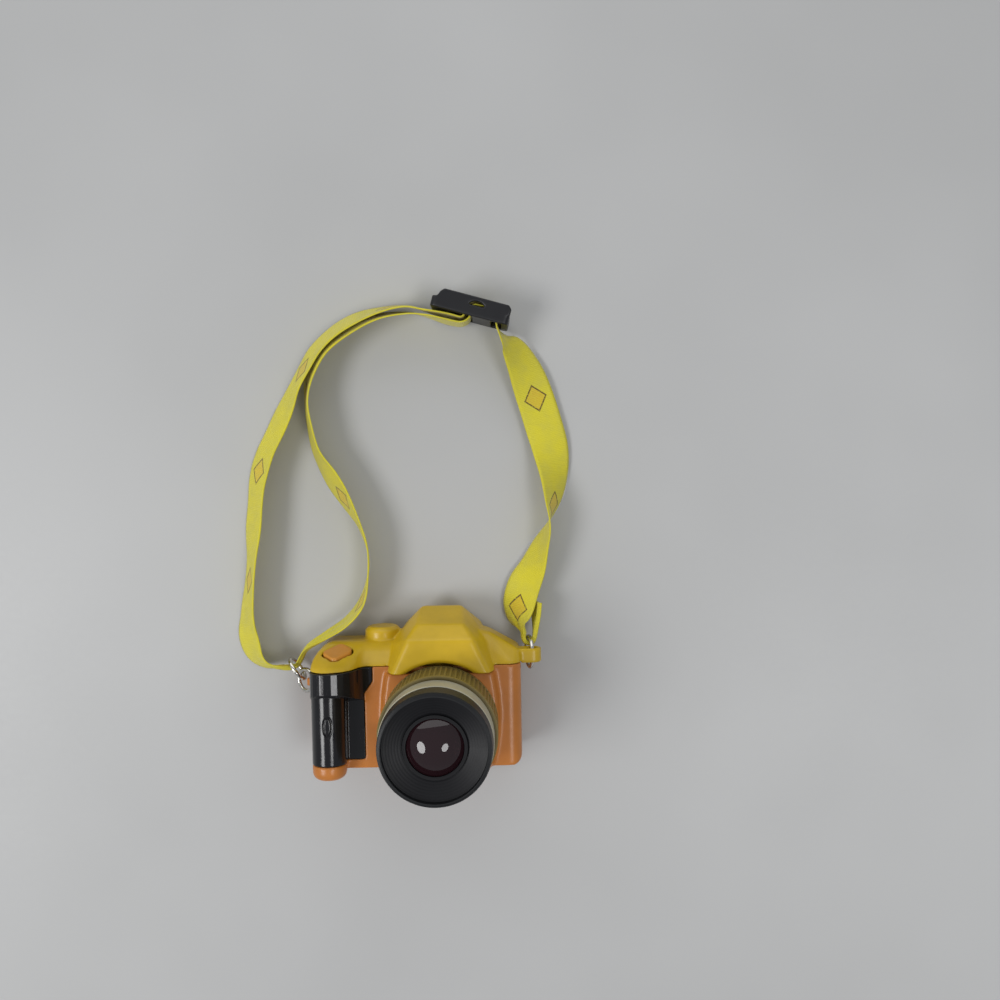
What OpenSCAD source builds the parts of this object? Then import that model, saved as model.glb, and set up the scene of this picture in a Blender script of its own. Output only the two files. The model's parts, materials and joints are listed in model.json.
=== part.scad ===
// Toy picture-viewer camera on a ribbon neck strap.
// Lens axis along +Z, back resting on z = 0, camera top along +Y, lengths in millimetres.

/* [Body] */
// Width across the lower shells
body_w = 49.2; // [48.2:0.1:50.6]
// Depth from the back to the flat front
body_d = 16; // [15.2:0.1:17]
// Height from the base to the seam under the top cover
lower_h = 24.1; // [23.6:0.1:25.4]
// Plastic wall
wall = 1.4; // [1.2:0.05:1.5]
// Depth of the rear cover
split_z = 6; // [5.6:0.1:6.4]
// Radius of the base corners
corner_r = 2.2; // [1.8:0.1:2.8]
// Radius of the rounded front edge on the right side
side_r = 3; // [2.4:0.1:3.6]
// Parting gap between the shells
seam_gap = 0.1; // [0.05:0.01:0.15]
// Rounding of the back edges
back_round = 1; // [0.6:0.1:1.2]

/* [Top cover] */
// Height of the flat deck above the seam
deck_rise = 5.2; // [5:0.1:5.8]
// Height of the viewfinder hump above the seam
hump_rise = 13.25; // [12.6:0.05:14.4]
// Drop of the hump front below the seam
skirt_drop = 1.1; // [0.8:0.1:1.4]
// Setback of the deck edge behind the flat front
deck_back = 3.8; // [3.2:0.1:4.2]
// Rounding of the deck edges
deck_round = 2.6; // [2:0.1:3]
// Reach of the hump in front of the flat front
hump_out = 4.3; // [3.8:0.1:4.8]
// Offset of the hump from the body centre
hump_off = 5.75; // [5.4:0.05:6.2]
// Width of the hump along its top edge
hump_top_w = 11.2; // [10.4:0.1:12]
// Width of the sloping panel at its top
panel_w = 13; // [12.2:0.1:13.8]
// Width of the brow under the panel
brow_w = 16.8; // [16:0.1:17.6]
// Width of the hump at the seam
hump_base_w = 25; // [24.2:0.1:25.6]
// Edge rounding of the hump
hump_round = 1.5; // [1.4:0.05:1.7]
// Hump wall
hump_wall = 1.2; // [1:0.05:1.3]
// Radius of the moulded dial
dial_r = 4.3; // [4:0.1:4.6]
// Height of the dial top above the seam
dial_rise = 8.25; // [7.8:0.05:8.8]
// Rounding of the top left corner
cap_round = 4.6; // [4:0.1:5]

/* [Grip] */
// Radius of the grip bulge
grip_r = 4; // [3.8:0.05:4.2]
// Reach of the cap over the grip, in front of the flat front
cap_out = 7.6; // [7.2:0.1:8]
// Radius of the sweep from the cap towards the lens
sweep_r = 7; // [6.6:0.1:7.2]
// Step back of the grip below the finger rest
grip_dip = 1.2; // [0.9:0.1:1.4]
// Thickness of the black grip insert
grip_t = 1.3; // [1.1:0.05:1.4]
// Width of the insert from the left side
grip_w = 12.05; // [11.7:0.05:12.4]
// Drop of the foot below the base
foot_drop = 1.4; // [1:0.1:1.6]
// Rounding of the foot
foot_round = 1.8; // [1.4:0.1:2]

/* [Lens] */
// Height of the lens axis above the base
axis_h = 11.25; // [11:0.05:11.6]
// Offset of the lens axis from the body centre
axis_off = 5.5; // [5.2:0.05:5.8]
// Radius of the orange lens seat
boss_r = 15.6; // [15.3:0.1:15.8]
// Radius of the lens seat at the flat front
boss_base_r = 16.4; // [16:0.1:16.6]
// Rise of the lens seat from the flat front
boss_rise = 2.5; // [2.2:0.1:2.8]
// Width of the lens seat at the flat front
boss_w = 28.1; // [27.6:0.1:28.6]
// Radius of the lens tube
tube_r = 10.6; // [10.4:0.05:10.8]
// Radius of the ribbed turning ring
zoom_r = 13.55; // [13.4:0.05:13.7]
// Length of the turning ring
zoom_len = 11.2; // [10.6:0.1:11.8]
// Number of ribs on the turning ring
zoom_ribs = 72; // [48:1:80]
// Radius of the cream trim ring
trim_r = 12.75; // [12.6:0.05:12.9]
// Length of the trim ring
trim_len = 6; // [5.6:0.1:6.4]
// Radius of the black front
front_r = 12.6; // [12.4:0.05:12.7]
// Length of the black front
front_len = 4.9; // [4.6:0.05:5.3]
// Radius of the clear dome
dome_r = 6.3; // [6:0.05:6.4]
// Rise of the dome above its neck
dome_rise = 2.4; // [2:0.1:2.8]

/* [Viewer] */
// Number of pictures on the disc
pictures = 8; // [8:1:8]
// Radius of the picture circle
picture_circle_r = 8.6; // [8.4:0.05:8.8]
// Radius of a picture
picture_r = 2.9; // [2.6:0.05:3]
// Radius of the picture disc
disc_r = 12.2; // [11.8:0.1:12.3]
// Travel of the shutter button
press_travel = 2; // [1.9:0.02:2.05]
// Radius of a ratchet pin
pin_r = 0.45; // [0.42:0.01:0.48]
// Radius of the eyepiece lens
eye_r = 5.2; // [5:0.05:5.4]

/* [Strap] */
// Width of the ribbon
ribbon_w = 9.6; // [9.2:0.1:9.8]
// Thickness of the ribbon
ribbon_t = 0.5; // [0.4:0.02:0.55]
// Radius of the ring wire
wire_r = 0.5; // [0.42:0.01:0.52]
// Length of the slider
slider_l = 19; // [18:0.1:20]
// Thickness of the slider frame
slider_t = 2.6; // [2.4:0.05:2.7]

/* [Hidden] */
$fn = 64;
over = 0.4;
run_gap = 0.08;
seat_gap = 0.05;
clear_gap = 0.3;
hw = body_w / 2;
// Strap lugs: reach of the eye from the side, and its radius
lug_reach = 2.85;
lug_r = 2.15;
side_lug_reach = 1.5;
side_lug_r = 1.45;
mid_x = (side_lug_reach + side_lug_r - lug_reach - lug_r) / 2;
x_left = mid_x - hw;
x_right = mid_x + hw;
axis_x = mid_x + axis_off;
hump_x = mid_x + hump_off;
y_low = -(lower_h + hump_rise - (boss_base_r - axis_h)) / 2;
y_seam = y_low + lower_h;
y_deck = y_seam + deck_rise;
y_top = y_seam + hump_rise;
axis_y = y_low + axis_h;
y_skirt = y_seam - skirt_drop;
far = 2 * body_w;

// Grip bulge
grip_x = x_left + grip_r;
cap_z = body_d + cap_out;
grip_z = cap_z - grip_dip;
grip_cz = cap_z - grip_r;
foot_h = 2.2;
insert_y = y_low + foot_h;
insert_x = x_left + grip_w;
shoulder_step = 2;
shoulder_h = 3.4;
shoulder_slope_h = 2.7;
insert_set = 6.6;
insert_z = body_d - insert_set;
rest_drop = 5;
rest_h = 2.8;
rest_y = y_seam - rest_drop;
inner_t = 1.1;
oval_x = 0.3;
oval_h = 4.8;
oval_w = 2.2;
oval_up = 11.6;
oval_y = y_low + oval_up;
oval_depth = 0.4;
oval_line = 0.4;

// Sweep of the cap: a large round from the grip, then a hollow round into the flat front
sweep_deg = 75;
sweep_cz = cap_z - sweep_r;
hollow_r = (sweep_cz + sweep_r * cos(sweep_deg) - body_d) / (1 - cos(sweep_deg));
hollow_x = grip_x + (sweep_r + hollow_r) * sin(sweep_deg);
hollow_cz = sweep_cz + (sweep_r + hollow_r) * cos(sweep_deg);
arc_n = 6;
function arc(first, x, y, r, a0, a1) = [for (i = [first:arc_n]) let(a = a0 + (a1 - a0) * i / arc_n)
    [x + r * cos(a), y + r * sin(a)]];
function sweep_line(inset) = concat(
    arc(0, grip_x, grip_cz, grip_r - inset, 180, 90),
    arc(1, grip_x, sweep_cz, sweep_r - inset, 90, 90 - sweep_deg),
    arc(1, hollow_x, hollow_cz, hollow_r + inset, 270 - sweep_deg, 270));

// Top cover tongue and cavity
tongue_h = 1.2;
tongue_t = 0.9;
tongue_gap = 0.15;
tongue_lift = 1;
deck_z = body_d - deck_back;
deck_rows = 7;
last_share = 0.995;
over_share = 1.1;
// Share of the swell over the grip that is gone at the deck
fade_share = 0.94;
dial_gap = 14.75;
dial_x = hump_x - dial_gap;
dial_set = 10.1;
dial_z = body_d - dial_set;
dial_round = 0.9;
hump_z = body_d + hump_out;
ridge_set = 6.3;
ridge_z = body_d - ridge_set;
hump_back_z = 1.2;
hump_back_drop = 4.25;
panel_set = 1.3;
panel_low_set = 0.2;
panel_top_z = body_d + panel_set;
panel_low_z = hump_z - panel_low_set;
panel_top_drop = 3;
panel_low_drop = 5.7;
hump_shoulder_set = 1.2;
hump_shoulder_z = body_d + hump_shoulder_set;
hump_shoulder_w = 26.2;
hump_foot_w = 27;
hump_mid_drop = 8.4;
hump_mid_w = 25.4;
hump_back_w = 19;
arch_r = 14.2;
arch_set = 0.9;
arch_z = body_d + arch_set;
arch_chamfer = 0.8;
// Right shoulder, set in from the right side, up from the seam and behind the flat front
shoulder_round = 2;
shoulder_lip = 0.5;
shoulder_tops = [[8, 7.4, 9.8], [8, 7.4, 4.6], [11.5, 8.4, 10.4], [11.5, 8.4, 4.7],
    [2, 3.7, 11.6], [2, 3.7, 4]];

// Strap eyelets
lug_x = x_right + lug_reach;
lug_hole_r = 1.15;
lug_set = 6;
lug_z = body_d - lug_set;
lug_t = 3.4;
lug_lift = 1.25;
lug_y = y_seam + lug_lift;
side_lug_x = x_left - side_lug_reach;
side_lug_hole_r = 0.85;
side_lug_z = insert_z - side_lug_r - 2 * seat_gap;
side_lug_t = 2;
side_lug_drop = 4.9;
side_lug_y = y_seam - side_lug_drop;

// Lens stack
boss_z = body_d + boss_rise;
boss_side_r = 45;
boss_side_up = 1.5;
seat_set = 0.8;
seat_z = body_d - seat_set;
seat_floor_t = 1.6;
pad_r = 11.2;
window_r = 4.2;
tube_wall = 1.2;
tube_bore_r = tube_r - tube_wall;
zoom_z = boss_z + clear_gap;
trim_z = zoom_z + zoom_len + clear_gap;
front_z = trim_z + trim_len + seat_gap;
lens_top_z = front_z + front_len;
rib_r = 0.42;
rib_edge = 0.9;
front_round = 0.7;
front_taper = 0.2;
rim_w = 0.95;
bezel_r = front_r - rim_w - seat_gap - front_taper;
ledge_rise = 0.3;
ledge_z = front_z + ledge_rise;
bezel_sink = 1.3;
bezel_dip = 2.9;
bezel_top_z = lens_top_z - bezel_sink;
bezel_low_z = lens_top_z - bezel_dip;
collar_w = 0.75;
collar_r = dome_r + collar_w;
collar_rise = 0.5;
flange_w = 0.8;
flange_r = dome_r + flange_w;
flange_t = 1.2;
neck_top_z = bezel_low_z + 2 * seat_gap;
dome_curve_r = (dome_r * dome_r + dome_rise * dome_rise) / (2 * dome_rise);

// Picture disc and ratchet
step_deg = 360 / pictures;
disc_lean_deg = 150;
disc_x = axis_x + picture_circle_r * cos(disc_lean_deg);
disc_y = axis_y + picture_circle_r * sin(disc_lean_deg);
pin_circle_r = press_travel / (2 * sin(step_deg / 2));
post_r = 1.15;
post_len = 5.5;
post_end_z = seat_z - post_len;
sleeve_r = 1.7;
sleeve_z = post_end_z + clear_gap - seat_gap;
sleeve_top_z = seat_z - seat_floor_t - clear_gap;
plate_r = 3.4;
plate_set = 4.3;
plate_z = seat_z - plate_set;
plate_t = 0.8;
film_z = plate_z + plate_t;
film_t = 0.4;
pin_set = 5.85;
pin_z = seat_z - pin_set;
pilot_r = 0.55;
screw_shank_r = 0.5;
pivot_head_r = 1.65;
pivot_head_t = 1;
washer_t = 0.2;
washer_z = post_end_z - washer_t - seat_gap;
pivot_screw_len = 3;

// Shutter button
button_in = 5.9;
button_x = x_left + button_in;
button_set = 0.6;
button_z = body_d - button_set;
button_left = 3.3;
button_right = 3.3;
button_front = 3.1;
button_back = 3;
button_skew = 0.7;
button_tip_r = 1.2;
button_drop = 1.25;
button_y = y_deck - button_drop;
button_slope_share = 0.375;
button_t = 1.5;
button_gap = 0.3;
stem_x = (x_left + wall + disc_x - disc_r) / 2;
stem_set = 4.2;
stem_z = body_d - stem_set;
stem_drop = 2.4;
stem_top = y_deck - stem_drop;
stem_r = 1.5;
block_h = 1.4;
arm_rise = 3.42;
arm_y = disc_y + arm_rise;
arm_set = 5.9;
arm_z = seat_z - arm_set;
arm_t = 1.2;
toe_t = 0.5;
toe_gap = 0.27;
toe_y = disc_y + pin_circle_r * sin(step_deg / 2) + pin_r + toe_gap;
pin_mid_x = disc_x - pin_circle_r;
toe_reach = 0.33;
finger_in = 1.07;
finger_w = 1;
shelf_drop = 3.38;
shelf_y = disc_y - shelf_drop;
shelf_t = 1;
nib_r = 0.8;
nib_h = 1.4;
pocket_depth = 1.6;

// Return spring
spring_wire_r = 0.2;
spring_r = 1.2;
spring_turns = 5;
spring_rings = 8;
spring_sides = 6;

// Eyepiece
eye_frame_w = 1.2;
eye_frame_r = eye_r + eye_frame_w;
eye_flange_w = 0.9;
eye_flange_r = eye_frame_r + eye_flange_w;
eye_flange_t = 1;
eye_sink = 0.3;
eye_lip = 0.7;
eye_seat_z = 1.7;
eye_lens_t = 2.8;
eye_edge_t = 1.2;
eye_top_z = 5;
eye_sag = (eye_lens_t - eye_edge_t) / 2;
eye_curve_r = (eye_r * eye_r + eye_sag * eye_sag) / (2 * eye_sag);

// Body screws
screw_in = 4.2;
screw_up = [6.2, 4.2];
screw_drop = 4.1;
screw_points = [[x_left + screw_in, y_low + screw_up[0]], [x_right - screw_in, y_low + screw_up[1]],
    [x_right - screw_in, y_seam - screw_drop]];
screw_boss_r = 2;
screw_head_r = 1.6;
screw_head_t = 0.9;
screw_sink = 0.3;
screw_len = 7.4;
screw_r = 0.8;
screw_slack_r = 0.95;
screw_well_r = 1.75;
boss_front_z = body_d - wall / 2;
boss_end_gap = 0.1;

// Strap rings: centre, in-plane lean about Y and mean radius
lug_ring_r = 3.7;
lug_ring_lean_deg = 80;
lug_ring_back = 0.26;
lug_ring_x = lug_x - (lug_ring_r - lug_ring_back) * cos(lug_ring_lean_deg);
lug_ring_z = lug_z - (lug_ring_r - lug_ring_back) * sin(lug_ring_lean_deg);
side_ring_r = 2.65;
side_ring_lean_deg = 38;
side_ring_back = 0.22;
side_ring_x = side_lug_x - (side_ring_r - side_ring_back) * cos(side_ring_lean_deg);
side_ring_z = side_lug_z - (side_ring_r - side_ring_back) * sin(side_ring_lean_deg);
strap_ring_r = 2.9;
strap_ring_turn_deg = -55;
strap_ring_shift = [-2.25, 2.65, -0.8];
strap_ring_at = [side_ring_x, side_lug_y, side_ring_z] + strap_ring_shift;

// Slider
strap_up = 16.55;
strap_zero = [mid_x, y_low + strap_up, 0];
slider_at = strap_zero + [14, 91.3, 6.7];
slider_turn_deg = -15.7;
slider_h = 12.8;
slot_h = 10.4;
slot_w = 2.6;
slot_off = 3.6;
slot_shift = 3;
rail_gap = 1;
rail_t = 1.1;
rail_h = 1.1;
rail_in = 1;
rail_back = 1.7;
rail_cut = 0.8;
rail_open_x = 1.4;
rail_open_l = 4.6;
slider_round = 1.2;

// Ribbon route: x, y, height of the middle, lean from upright to the right of travel, width share
su = [cos(slider_turn_deg), sin(slider_turn_deg)];
sw = [-sin(slider_turn_deg), cos(slider_turn_deg)];
function on_slider(uvs) = [for (p = uvs) [slider_at[0] + p[0] * su[0] + p[1] * sw[0],
    slider_at[1] + p[0] * su[1] + p[1] * sw[1], slider_at[2], p[2], 1]];
// Threading at the slider: along it, behind it, and lean
sewn_thread = [[5.1, 1.8, 0], [3, 1.8, 0], [0.95, 1.8, 0], [0.4, 1.65, 0], [0.2, 1.2, 0], [0.2, -0.9, 0],
    [-0.4, -2.2, 0], [-1.6, -3, 0], [-4, -3.3, 0], [-10.5, -3.3, -4]];
loop_thread = [[-10.3, -2.05, 4], [-4, -1.95, 0], [-2.1, -1.9, 0], [-1.5, -1.7, 0], [-1.3, -1.2, 0],
    [-1.1, 1, 0], [-0.6, 2.1, 0], [0.4, 2.8, 0], [3, 2.95, 0], [5.3, 2.75, 0], [6.3, 1.9, 0], [6.6, 0.8, 0],
    [6.6, -0.8, 0], [7.2, -1.8, 2], [9.2, -3.4, 12]];
inner_run = [
    [-0.9, 91.8, 5.6, -8, 1], [-6.9, 91.5, 5.2, -16, 1], [-13.2, 89.7, 5, -22, 1], [-18.8, 86.5, 5, -26, 1],
    [-23, 82.5, 5, -26, 1], [-25.7, 77.4, 5, -23, 1], [-26.5, 71.2, 5.1, -16, 1],
    [-25.9, 65, 5.1, -15, 1], [-24.4, 58.5, 5, -20, 1], [-20.9, 52.1, 4.8, -28, 1],
    [-17.1, 45.6, 4.9, -24, 1], [-14, 39.7, 5.1, -12, 1], [-12.4, 33.7, 5.1, -8, 1],
    [-12.5, 27.3, 5.1, -8, 1], [-14.2, 21.4, 5.2, -12, 1], [-18, 16.8, 5.6, -14, 0.9],
    [-22.9, 13.6, 6.2, -12, 0.72], [-27.7, 10.5, 6.4, -6, 0.5]];
ring_pass_shift = [-0.45, 0.65];
ring_pass_share = 0.3;
ring_pass = [strap_ring_at[0] + ring_pass_shift[0], strap_ring_at[1] + ring_pass_shift[1],
    strap_ring_at[2], 0, ring_pass_share];
left_run = [
    [-34.8, 5.9, 6, 10, 0.55], [-38.2, 6.5, 5.2, 26, 0.8], [-41.1, 9, 4.3, 38, 1], [-42.5, 13.2, 4.1, 42, 1],
    [-42.5, 18.6, 4.55, 33, 1], [-41.8, 25.4, 4.85, 25, 1], [-41.1, 32.2, 4.8, 27, 1],
    [-40.5, 39.6, 4.5, 33, 1], [-39.9, 45.8, 4.4, 35, 1], [-39.1, 51.9, 4.4, 36, 1], [-37.3, 58, 4.4, 37, 1],
    [-34.3, 64, 4.4, 37, 1], [-31.6, 69.7, 4.5, 33, 1], [-29.6, 74.2, 4.7, 28, 1], [-27.2, 78.5, 4.8, 26, 1],
    [-24.1, 83.5, 4.9, 26, 1], [-19.6, 87.7, 5, 26, 1], [-13.8, 91, 5, 22, 1], [-7.2, 92.9, 5.2, 16, 1],
    [-1.3, 93.4, 5.6, 8, 1]];
tail_run = [
    [23.9, 83.7, 5.2, 36, 1], [26.7, 78.5, 3.8, 58, 1], [29.3, 71.4, 2.6, 74, 1], [31.4, 64.4, 2.2, 78, 1],
    [33, 58.3, 2.7, 68, 1], [33.7, 52.3, 3.9, 50, 1], [33.4, 45.9, 4.9, 26, 1], [32.3, 40.1, 5.3, 0, 1],
    [30, 34.6, 5.2, -22, 1], [28, 29.2, 4.8, -40, 1], [25.7, 24.4, 4.3, -52, 1], [24.4, 19.6, 4.5, -50, 1],
    [24.3, 15.9, 5.4, -36, 0.78]];
hook_r = wire_r + ribbon_t / 2 + 2 * clear_gap;
hook_sag = 0.2;
hook_at = [lug_ring_x, lug_y + lug_ring_r - hook_sag, lug_ring_z];
// End of the ribbon round the right ring: shift along X and Y in hook radii, drop, lean, width share
hook_shares = [[-1, 1, 0, -8, 0.4], [-1, 0, 0, 0, 0.3], [-0.7, -0.7, 0, 0, 0.3], [0, -1, 0, 0, 0.3],
    [0.7, -0.7, 0, 0, 0.3], [1, 0, 0, 0, 0.3], [1.25, 2.4, 0.4, 8, 0.5], [1.35, 4.4, 0.9, 14, 0.62],
    [1.45, 6.4, 1.2, 16, 0.7]];
end_run = [for (h = hook_shares) [hook_at[0] + h[0] * hook_r, hook_at[1] + h[1] * hook_r,
    hook_at[2] - h[2] * hook_r, h[3], h[4]]];
function on_table(run) = [for (p = run) [p[0] + strap_zero[0], p[1] + strap_zero[1], p[2], p[3], p[4]]];
route = concat(on_slider(sewn_thread), on_table(inner_run), [ring_pass], on_table(left_run),
    on_slider(loop_thread), on_table(tail_run), end_run);
route_n = len(route);
function flat_dir(a, b) = let(v = [b[0] - a[0], b[1] - a[1]]) v / norm(v);
function route_dir(i) = flat_dir(route[max(i - 1, 0)], route[min(i + 1, route_n - 1)]);
function ribbon_ring(i) = let(
    p = route[i], t = route_dir(i), side = [t[1], -t[0]], lean = p[3],
    wide = [side[0] * sin(lean), side[1] * sin(lean), cos(lean)] * (ribbon_w / 2 * p[4]),
    thick = [side[0] * cos(lean), side[1] * cos(lean), -sin(lean)] * (ribbon_t / 2),
    c = [p[0], p[1], p[2]])
    [c - wide - thick, c + wide - thick, c + wide + thick, c - wide + thick];
ribbon_points = [for (i = [0:route_n - 1]) each ribbon_ring(i)];
ribbon_faces = concat(
    [[0, 1, 2, 3]],
    [for (i = [0:route_n - 2]) for (k = [0:3])
        each let(a = 4 * i + k, b = 4 * i + (k + 1) % 4) [[a, a + 4, b + 4], [a, b + 4, b]]],
    [let(e = 4 * (route_n - 1)) [e + 3, e + 2, e + 1, e]]);

// Spring coil along the press direction
spring_low = shelf_y + seat_gap + spring_wire_r;
spring_high = arm_y - seat_gap - spring_wire_r;
spring_n = spring_turns * spring_rings;
function spring_ring(i) = let(
    a = 360 * i / spring_rings, y = spring_low + (spring_high - spring_low) * i / spring_n)
    [for (k = [0:spring_sides - 1]) let(b = 360 * k / spring_sides,
        r = spring_r + spring_wire_r * cos(b))
        [stem_x + r * cos(a), y + spring_wire_r * sin(b), stem_z + r * sin(a)]];
spring_points = [for (i = [0:spring_n]) each spring_ring(i)];
spring_faces = concat(
    [[for (k = [0:spring_sides - 1]) k]],
    [for (i = [0:spring_n - 1]) for (k = [0:spring_sides - 1])
        each let(a = spring_sides * i + k, b = spring_sides * i + (k + 1) % spring_sides)
            [[a, a + spring_sides, b + spring_sides], [a, b + spring_sides, b]]],
    [[for (k = [0:spring_sides - 1]) spring_sides * (spring_n + 1) - 1 - k]]);

module along_y(y0, y1) {
    translate([0, y1, 0]) rotate([90, 0, 0]) linear_extrude(y1 - y0) children();
}

module along_x(x0, x1) {
    translate([x0, 0, 0]) rotate([90, 0, 90]) linear_extrude(x1 - x0) children();
}

module along_z(z0, z1) {
    translate([0, 0, z0]) linear_extrude(z1 - z0) children();
}

// Front view of the lower body, set in from the outside
module front_view(inset) {
    translate([x_left + inset, y_low + corner_r]) square([2 * (hw - inset), lower_h - corner_r]);
    translate([x_left + corner_r, y_low + inset]) square([2 * (hw - corner_r), lower_h - inset]);
    for (s = [-1, 1])
        translate([mid_x + s * (hw - corner_r), y_low + corner_r]) circle(corner_r - inset);
}

// Top view of the body without the grip bulge
module slab_view(inset) {
    translate([x_left + inset, 0]) square([2 * hw - side_r - inset, body_d - inset]);
    translate([x_left + inset, 0]) square([2 * (hw - inset), body_d - side_r]);
    translate([x_right - side_r, body_d - side_r]) circle(side_r - inset);
}

// Top view of the grip below the finger rest
module bulge_view(inset) {
    translate([grip_x, grip_cz - grip_dip]) circle(grip_r - inset);
    translate([x_left + inset, 0]) square([2 * (grip_r - inset), grip_cz - grip_dip]);
}

// Top view of the grip above the finger rest, with its sweep towards the lens
module sweep_view(inset) {
    polygon(concat([[x_left + inset, 0]], sweep_line(inset), [[hollow_x, 0]]));
}

// Grip with its finger rest, set in from the outside
module grip_form(inset) {
    along_y(y_low - over, y_seam + over) bulge_view(inset);
    intersection() {
        along_y(rest_y - rest_h - over, y_seam + over) sweep_view(inset);
        along_x(x_left - over, hollow_x + over) polygon([
            [rest_y - rest_h + inset, 0], [rest_y - rest_h + inset, body_d - inset],
            [rest_y + inset, cap_z], [y_seam + over, cap_z], [y_seam + over, 0]]);
    }
}

module lower_body(inset, y0, y1) {
    intersection() {
        along_y(y0, y1) slab_view(inset);
        along_z(0, far) front_view(inset);
    }
}

// Front view of the area that the grip insert covers
module insert_view(shrink) {
    polygon([
        [x_left - over, insert_y + shrink],
        [insert_x - shrink, insert_y + shrink],
        [insert_x - shrink, y_seam - shoulder_h - shoulder_slope_h],
        [insert_x + shoulder_step - shrink, y_seam - shoulder_h],
        [insert_x + shoulder_step - shrink, y_seam - shrink],
        [x_left - over, y_seam - shrink]]);
}

module at_axis() {
    translate([axis_x, axis_y, 0]) children();
}

module front_shell() color([0.87, 0.45, 0.16]) {
    core_z = body_d - grip_t - inner_t;
    difference() {
        union() {
            difference() {
                union() {
                    intersection() {
                        union() {
                            lower_body(0, y_low, y_seam);
                            intersection() {
                                grip_form(0);
                                along_y(insert_y - over, y_seam) square([2 * far, 2 * far], center = true);
                            }
                        }
                        translate([-far, -far, split_z + seam_gap]) cube([2 * far, 2 * far, far]);
                    }
                    grip_foot();
                    lens_seat();
                }
                // Hollow of the shell
                difference() {
                    intersection() {
                        along_y(y_low + wall, y_seam + over) slab_view(wall);
                        along_z(split_z, far) front_view(wall);
                    }
                    translate([x_left - over, y_low - over, core_z])
                        cube([grip_w + shoulder_step + inner_t + over, lower_h + 2 * over, far]);
                    translate([x_left - over, y_low - over, insert_z - inner_t])
                        cube([grip_t + inner_t + over, lower_h + 2 * over, far]);
                }
                along_y(rest_y + wall, y_seam + over) sweep_view(grip_t + inner_t);
            }
            // Lens seat floor
            at_axis() translate([0, 0, seat_z - seat_floor_t])
                cylinder(r = pad_r, h = boss_z - seat_z + seat_floor_t - over);
            // Post for the picture disc
            translate([disc_x, disc_y, post_end_z]) cylinder(r = post_r, h = seat_z - post_end_z - over);
            // Screw bosses
            for (p = screw_points)
                translate([p[0], p[1], split_z + boss_end_gap])
                    cylinder(r = screw_boss_r, h = boss_front_z - split_z);
            // Spring shelf
            translate([x_left + wall - over, shelf_y - shelf_t, split_z + seam_gap])
                cube([stem_x + stem_r - x_left - wall + over, shelf_t, boss_front_z - split_z - seam_gap]);
            translate([stem_x, shelf_y - over, stem_z]) rotate([-90, 0, 0])
                cylinder(r = nib_r, h = nib_h + over);
            side_lug();
        }
        // Recess for the grip insert
        difference() {
            along_z(insert_z, far) insert_view(-seat_gap);
            lower_body(grip_t, y_low - over, y_seam + over);
            grip_form(grip_t);
            lens_seat();
        }
        at_axis() translate([0, 0, seat_z]) cylinder(r = tube_r + seat_gap, h = far);
        at_axis() translate([0, 0, seat_z - seat_floor_t - over])
            cylinder(r = window_r, h = seat_floor_t + 2 * over);
        translate([disc_x, disc_y, post_end_z - over]) cylinder(r = pilot_r, h = pivot_screw_len + 2 * over);
        for (p = screw_points)
            translate([p[0], p[1], split_z]) cylinder(r = screw_r + seat_gap, h = screw_len);
        // Room for the pressed button
        along_y(y_seam - pocket_depth, y_seam + over) button_view(button_gap);
    }
}

// Front view of the lens seat about the lens axis: round below, with bowed sides up to the hump
module seat_view(inset) {
    intersection() {
        union() {
            circle(boss_base_r - inset);
            translate([-far, 0]) square([2 * far, far]);
        }
        translate([boss_w / 2 - boss_side_r, boss_side_up]) circle(boss_side_r - inset);
        translate([boss_side_r - boss_w / 2, boss_side_up]) circle(boss_side_r - inset);
    }
}

// Orange seat that the lens stands on, open under the hump
module lens_seat() {
    intersection() {
        at_axis() {
            along_z(split_z + wall, body_d) seat_view(0);
            hull() {
                along_z(body_d - seat_gap, body_d) seat_view(0);
                along_z(boss_z - seat_gap, boss_z) seat_view(boss_base_r - boss_r);
            }
        }
        translate([-far, -far, 0]) cube([2 * far, far + y_skirt - seam_gap, far]);
    }
}

// Rounded foot under the grip
module grip_foot() {
    foot_r = grip_r - foot_round;
    foot_top = insert_y - seat_gap;
    foot_low = y_low - foot_drop;
    translate([grip_x, foot_low, grip_cz - grip_dip]) rotate([-90, 0, 0]) rotate_extrude() {
        square([foot_r, foot_top - foot_low]);
        translate([0, foot_round]) square([grip_r, foot_top - foot_low - foot_round]);
        translate([foot_r, foot_round]) intersection() {
            circle(foot_round);
            translate([-foot_r, -foot_round]) square([grip_r, 2 * foot_round]);
        }
    }
}

// Eyelet for the strap on the left side
module side_lug() {
    difference() {
        along_y(side_lug_y - side_lug_t / 2, side_lug_y + side_lug_t / 2) {
            translate([side_lug_x, side_lug_z]) circle(side_lug_r);
            translate([side_lug_x, side_lug_z - side_lug_r])
                square([x_left - side_lug_x + wall / 2, 2 * side_lug_r]);
        }
        along_y(side_lug_y - side_lug_t, side_lug_y + side_lug_t)
            translate([side_lug_x, side_lug_z]) circle(side_lug_hole_r);
    }
}

module rear_cover() color([0.87, 0.45, 0.16]) {
    difference() {
        union() {
            difference() {
                intersection() {
                    lower_body(0, y_low, y_seam);
                    along_y(y_low, y_seam) rear_view();
                }
                intersection() {
                    along_y(y_low + wall, y_seam + over) slab_view(wall);
                    along_z(wall, split_z + over) front_view(wall);
                }
            }
            for (p = screw_points)
                translate([p[0], p[1], wall / 2]) cylinder(r = screw_boss_r, h = split_z - wall / 2);
        }
        at_axis() translate([0, 0, -over]) cylinder(r = eye_frame_r + seat_gap, h = split_z);
        for (p = screw_points) {
            translate([p[0], p[1], -over]) cylinder(r = screw_slack_r, h = split_z + 2 * over);
            translate([p[0], p[1], -over]) cylinder(r = screw_well_r, h = screw_sink + screw_head_t + over);
        }
    }
}

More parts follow.
